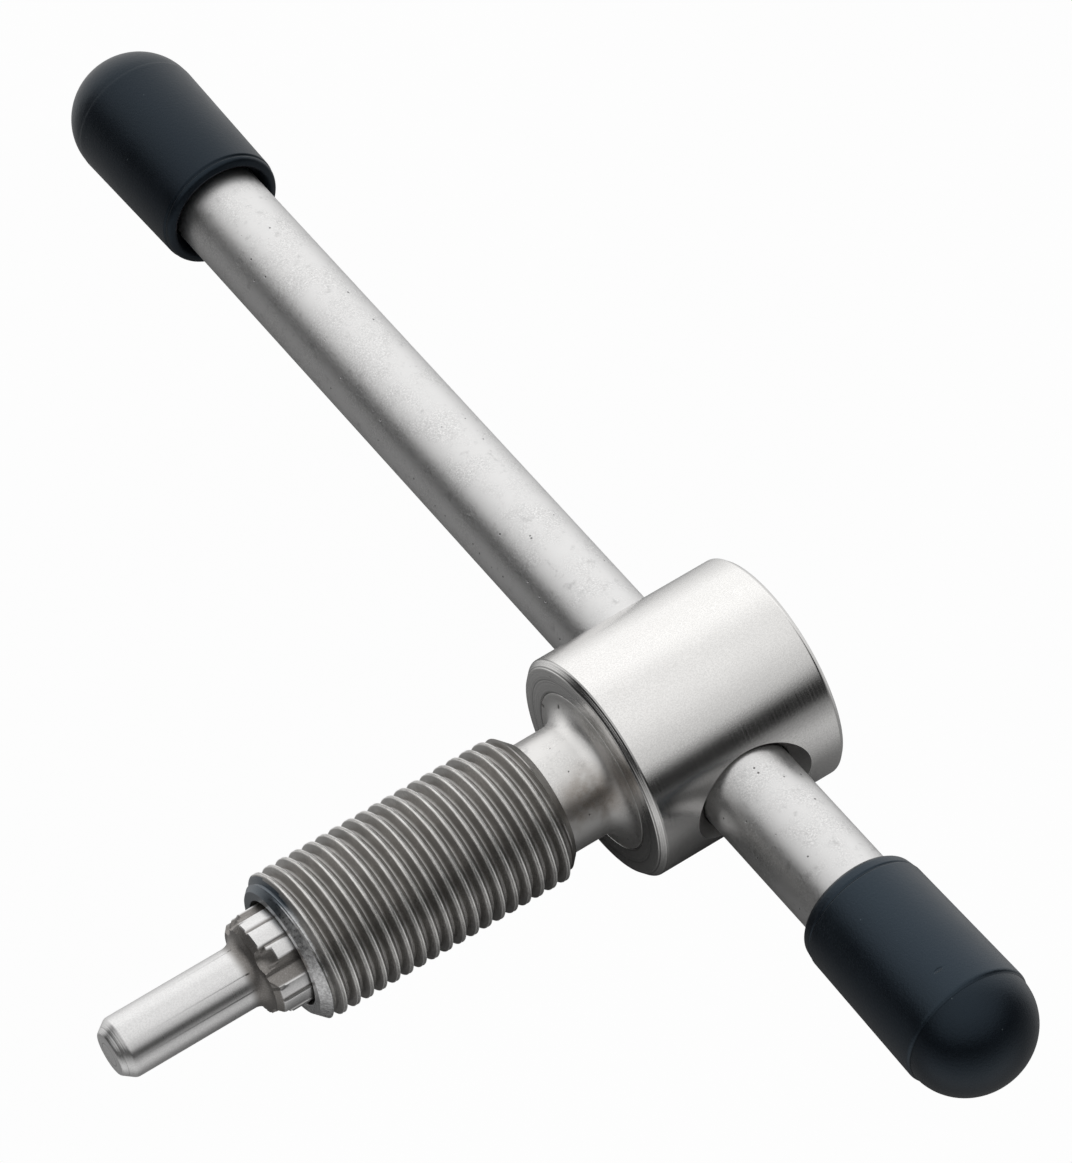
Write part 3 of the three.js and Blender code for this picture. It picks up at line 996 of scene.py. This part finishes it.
class DRIVESCREW_OT_stage(PieceOperator, Operator):
    """Set the pale floor, the soft lights and the camera"""

    bl_idname = "drive_screw.stage"
    bl_label = "Stage"

    def execute(self, context):
        stage = context.scene.drive_screw_stage
        self.make_floor(stage)
        self.make_sky(context.scene)
        self.make_light()
        self.make_camera(context.scene, stage)
        context.scene.view_settings.view_transform = "Standard"
        context.scene.view_settings.look = "None"
        return {"FINISHED"}

    @staticmethod
    def make_floor(stage):
        """A wide disc under the part, plain and pale to the camera.

        What the part's underside mirrors is not that pale surface: it is near black close
        to the part, a painted contact shadow, and clear further out.
        """
        surface = bmesh.new()
        bmesh.ops.create_circle(surface, cap_ends=True, segments=96, radius=3.0)
        mesh = bpy.data.meshes.new("floor")
        surface.to_mesh(mesh)
        surface.free()
        floor = bpy.data.objects.new("floor", mesh)
        bpy.context.scene.collection.objects.link(floor)
        floor.location.z = -stage.floor_depth
        finish = Finish("pale_floor")
        shader = finish.shader
        tone = finish.blend(finish.noise(0.02), stage.floor, shade(stage.floor, 0.985))
        # For all but camera rays the floor is this near black where little open sky lies above it
        # and clear elsewhere: a painted contact shadow under the part.
        shader.inputs["Base Color"].default_value = finish.solid(shade(stage.floor, 0.04))
        shader.inputs["Roughness"].default_value = 0.9
        shader.inputs["Specular IOR Level"].default_value = 0.0
        clear = finish.node("ShaderNodeBsdfTransparent").outputs[0]
        open_above = finish.node("ShaderNodeAmbientOcclusion", Distance=16 * MM)
        open_above.samples = 8
        open_share = finish.math("POWER", open_above.outputs["AO"], 2.5)
        under = finish.node("ShaderNodeMixShader", Fac=open_share)
        finish.feed(under.inputs[1], shader.outputs[0])
        finish.feed(under.inputs[2], clear)
        pale = finish.node("ShaderNodeEmission", Color=tone, Strength=1.1).outputs[0]
        seen = finish.node("ShaderNodeLightPath").outputs["Is Camera Ray"]
        both = finish.node("ShaderNodeMixShader", Fac=seen)
        finish.feed(both.inputs[1], under.outputs[0])
        finish.feed(both.inputs[2], pale)
        finish.feed(finish.tree.nodes["Material Output"].inputs["Surface"], both.outputs[0])
        mesh.materials.append(finish.material)

    @staticmethod
    def make_sky(scene):
        """A light tent of listed greys, with a plain pale colour behind the part."""
        world = bpy.data.worlds.new("light_tent")
        world.use_nodes = True
        scene.world = world
        tree = world.node_tree
        nodes, links = tree.nodes, tree.links
        background = nodes["Background"]
        direction = nodes.new("ShaderNodeTexCoord").outputs["Generated"]
        height = nodes.new("ShaderNodeSeparateXYZ")
        links.new(direction, height.inputs[0])

        def mapped(value, low, high, kind="SMOOTHSTEP"):
            made = nodes.new("ShaderNodeMapRange")
            made.interpolation_type = kind
            links.new(value, made.inputs[0])
            made.inputs[1].default_value = low
            made.inputs[2].default_value = high
            return made.outputs["Result"]

        def tone_by_height(stops):
            ramp = nodes.new("ShaderNodeValToRGB")
            links.new(mapped(height.outputs["Z"], -1, 1, "LINEAR"), ramp.inputs[0])
            elements = ramp.color_ramp.elements
            while len(elements) > 1:
                elements.remove(elements[-1])
            for index, (z, tone) in enumerate(stops):
                stop = elements[0] if index == 0 else elements.new((z + 1) / 2)
                stop.position = (z + 1) / 2
                stop.color = (tone, tone, tone, 1)
            return ramp.outputs["Color"]

        def mixed(share, first, second):
            made = nodes.new("ShaderNodeMix")
            made.data_type = "RGBA"
            links.new(share, made.inputs[0])
            links.new(first, made.inputs[6])
            if isinstance(second, bpy.types.NodeSocket):
                links.new(second, made.inputs[7])
            else:
                made.inputs[7].default_value = second
            return made.outputs[2]

        facing = nodes.new("ShaderNodeVectorMath")
        facing.operation = "DOT_PRODUCT"
        links.new(direction, facing.inputs[0])
        facing.inputs[1].default_value = (0.5, 0.866, 0.0)
        facing = facing.outputs["Value"]

        sides = tone_by_height([
            (-1.0, 0.36), (-0.65, 0.34), (-0.3, 0.27), (-0.05, 0.19), (0.03, 0.06), (0.1, 0.015),
            (0.38, 0.015), (0.47, 0.26), (0.58, 0.66), (0.75, 0.82), (0.9, 1.0), (1.0, 1.1),
        ])
        back = tone_by_height([
            (-1.0, 0.3), (-0.75, 0.42), (-0.5, 0.74), (-0.2, 0.86), (0.0, 1.05), (0.2, 1.25),
            (0.9, 1.3), (1.0, 1.1),
        ])
        front = tone_by_height([
            (-1.0, 0.5), (-0.8, 0.8), (-0.6, 0.85), (-0.4, 0.7), (-0.2, 0.42), (-0.03, 0.25),
            (0.1, 0.015), (0.33, 0.015), (0.42, 0.3), (0.54, 0.68), (0.75, 0.82), (0.9, 1.0),
            (1.0, 1.1),
        ])
        tent = mixed(mapped(facing, -0.25, -0.7), sides, back)
        tent = mixed(mapped(facing, 0.1, 0.6), tent, front)

        seen = nodes.new("ShaderNodeLightPath").outputs["Is Camera Ray"]
        backdrop = (0.985, 0.985, 0.985, 1)
        links.new(mixed(seen, tent, backdrop), background.inputs["Color"])
        background.inputs["Strength"].default_value = 1.0

    @staticmethod
    def make_light():
        """One wide soft light overhead."""
        lamp = bpy.data.lights.new("soft_light", "AREA")
        lamp.shape = "DISK"
        lamp.size = 1.2
        lamp.energy = 1.2
        light = bpy.data.objects.new("soft_light", lamp)
        light.location = (0.0, 0.0, 0.8)
        light.visible_glossy = False
        bpy.context.scene.collection.objects.link(light)

    @staticmethod
    def make_camera(scene, stage):
        """The camera looks down on the screw from the pin's side."""
        lens = bpy.data.cameras.new("camera")
        lens.lens = stage.focal_length
        lens.sensor_width = 36.0
        lens.clip_start = 0.01
        lens.clip_end = 20.0
        camera = bpy.data.objects.new("camera", lens)
        camera.location = Vector((95.016, 153.372, 226.274)) * MM
        turn_x, turn_y, turn_z = 39.368, 4.683, 146.043
        camera.rotation_euler = Euler(
            (math.radians(turn_x), math.radians(turn_y), math.radians(turn_z))
        )
        scene.collection.objects.link(camera)
        scene.camera = camera


# ---- add-on -------------------------------------------------------------------------

SETTINGS = {
    "drive_screw_head": HeadSettings,
    "drive_screw_screw": ScrewSettings,
    "drive_screw_pin": PinSettings,
    "drive_screw_bar": BarSettings,
    "drive_screw_caps": CapSettings,
    "drive_screw_stage": StageSettings,
}

OPERATORS = (
    DRIVESCREW_OT_stage,
    DRIVESCREW_OT_head,
    DRIVESCREW_OT_screw,
    DRIVESCREW_OT_press_pin,
    DRIVESCREW_OT_inner_parts,
    DRIVESCREW_OT_tommy_bar,
    DRIVESCREW_OT_end_caps,
)


class DRIVESCREW_PT_panel(Panel):
    """Lists the operators in the order that they run, and their settings"""

    bl_idname = "DRIVESCREW_PT_panel"
    bl_label = "Drive Screw"
    bl_space_type = "VIEW_3D"
    bl_region_type = "UI"
    bl_category = "Drive Screw"

    def draw(self, context):
        for operator in OPERATORS:
            self.layout.operator(operator.bl_idname)
        for name, group in SETTINGS.items():
            box = self.layout.box()
            box.label(text=name.removeprefix("drive_screw_").title())
            for field in group.__annotations__:
                box.prop(getattr(context.scene, name), field)


def register():
    for name, group in SETTINGS.items():
        bpy.utils.register_class(group)
        setattr(bpy.types.Scene, name, PointerProperty(type=group))
    for operator in OPERATORS:
        bpy.utils.register_class(operator)
    bpy.utils.register_class(DRIVESCREW_PT_panel)


def unregister():
    bpy.utils.unregister_class(DRIVESCREW_PT_panel)
    for operator in reversed(OPERATORS):
        bpy.utils.unregister_class(operator)
    for name, group in reversed(SETTINGS.items()):
        delattr(bpy.types.Scene, name)
        bpy.utils.unregister_class(group)


def main():
    register()
    bpy.ops.drive_screw.stage()
    bpy.ops.drive_screw.head()
    bpy.ops.drive_screw.screw()
    bpy.ops.drive_screw.press_pin()
    bpy.ops.drive_screw.inner_parts()
    bpy.ops.drive_screw.tommy_bar()
    bpy.ops.drive_screw.end_caps()


if __name__ == "__main__":
    main()
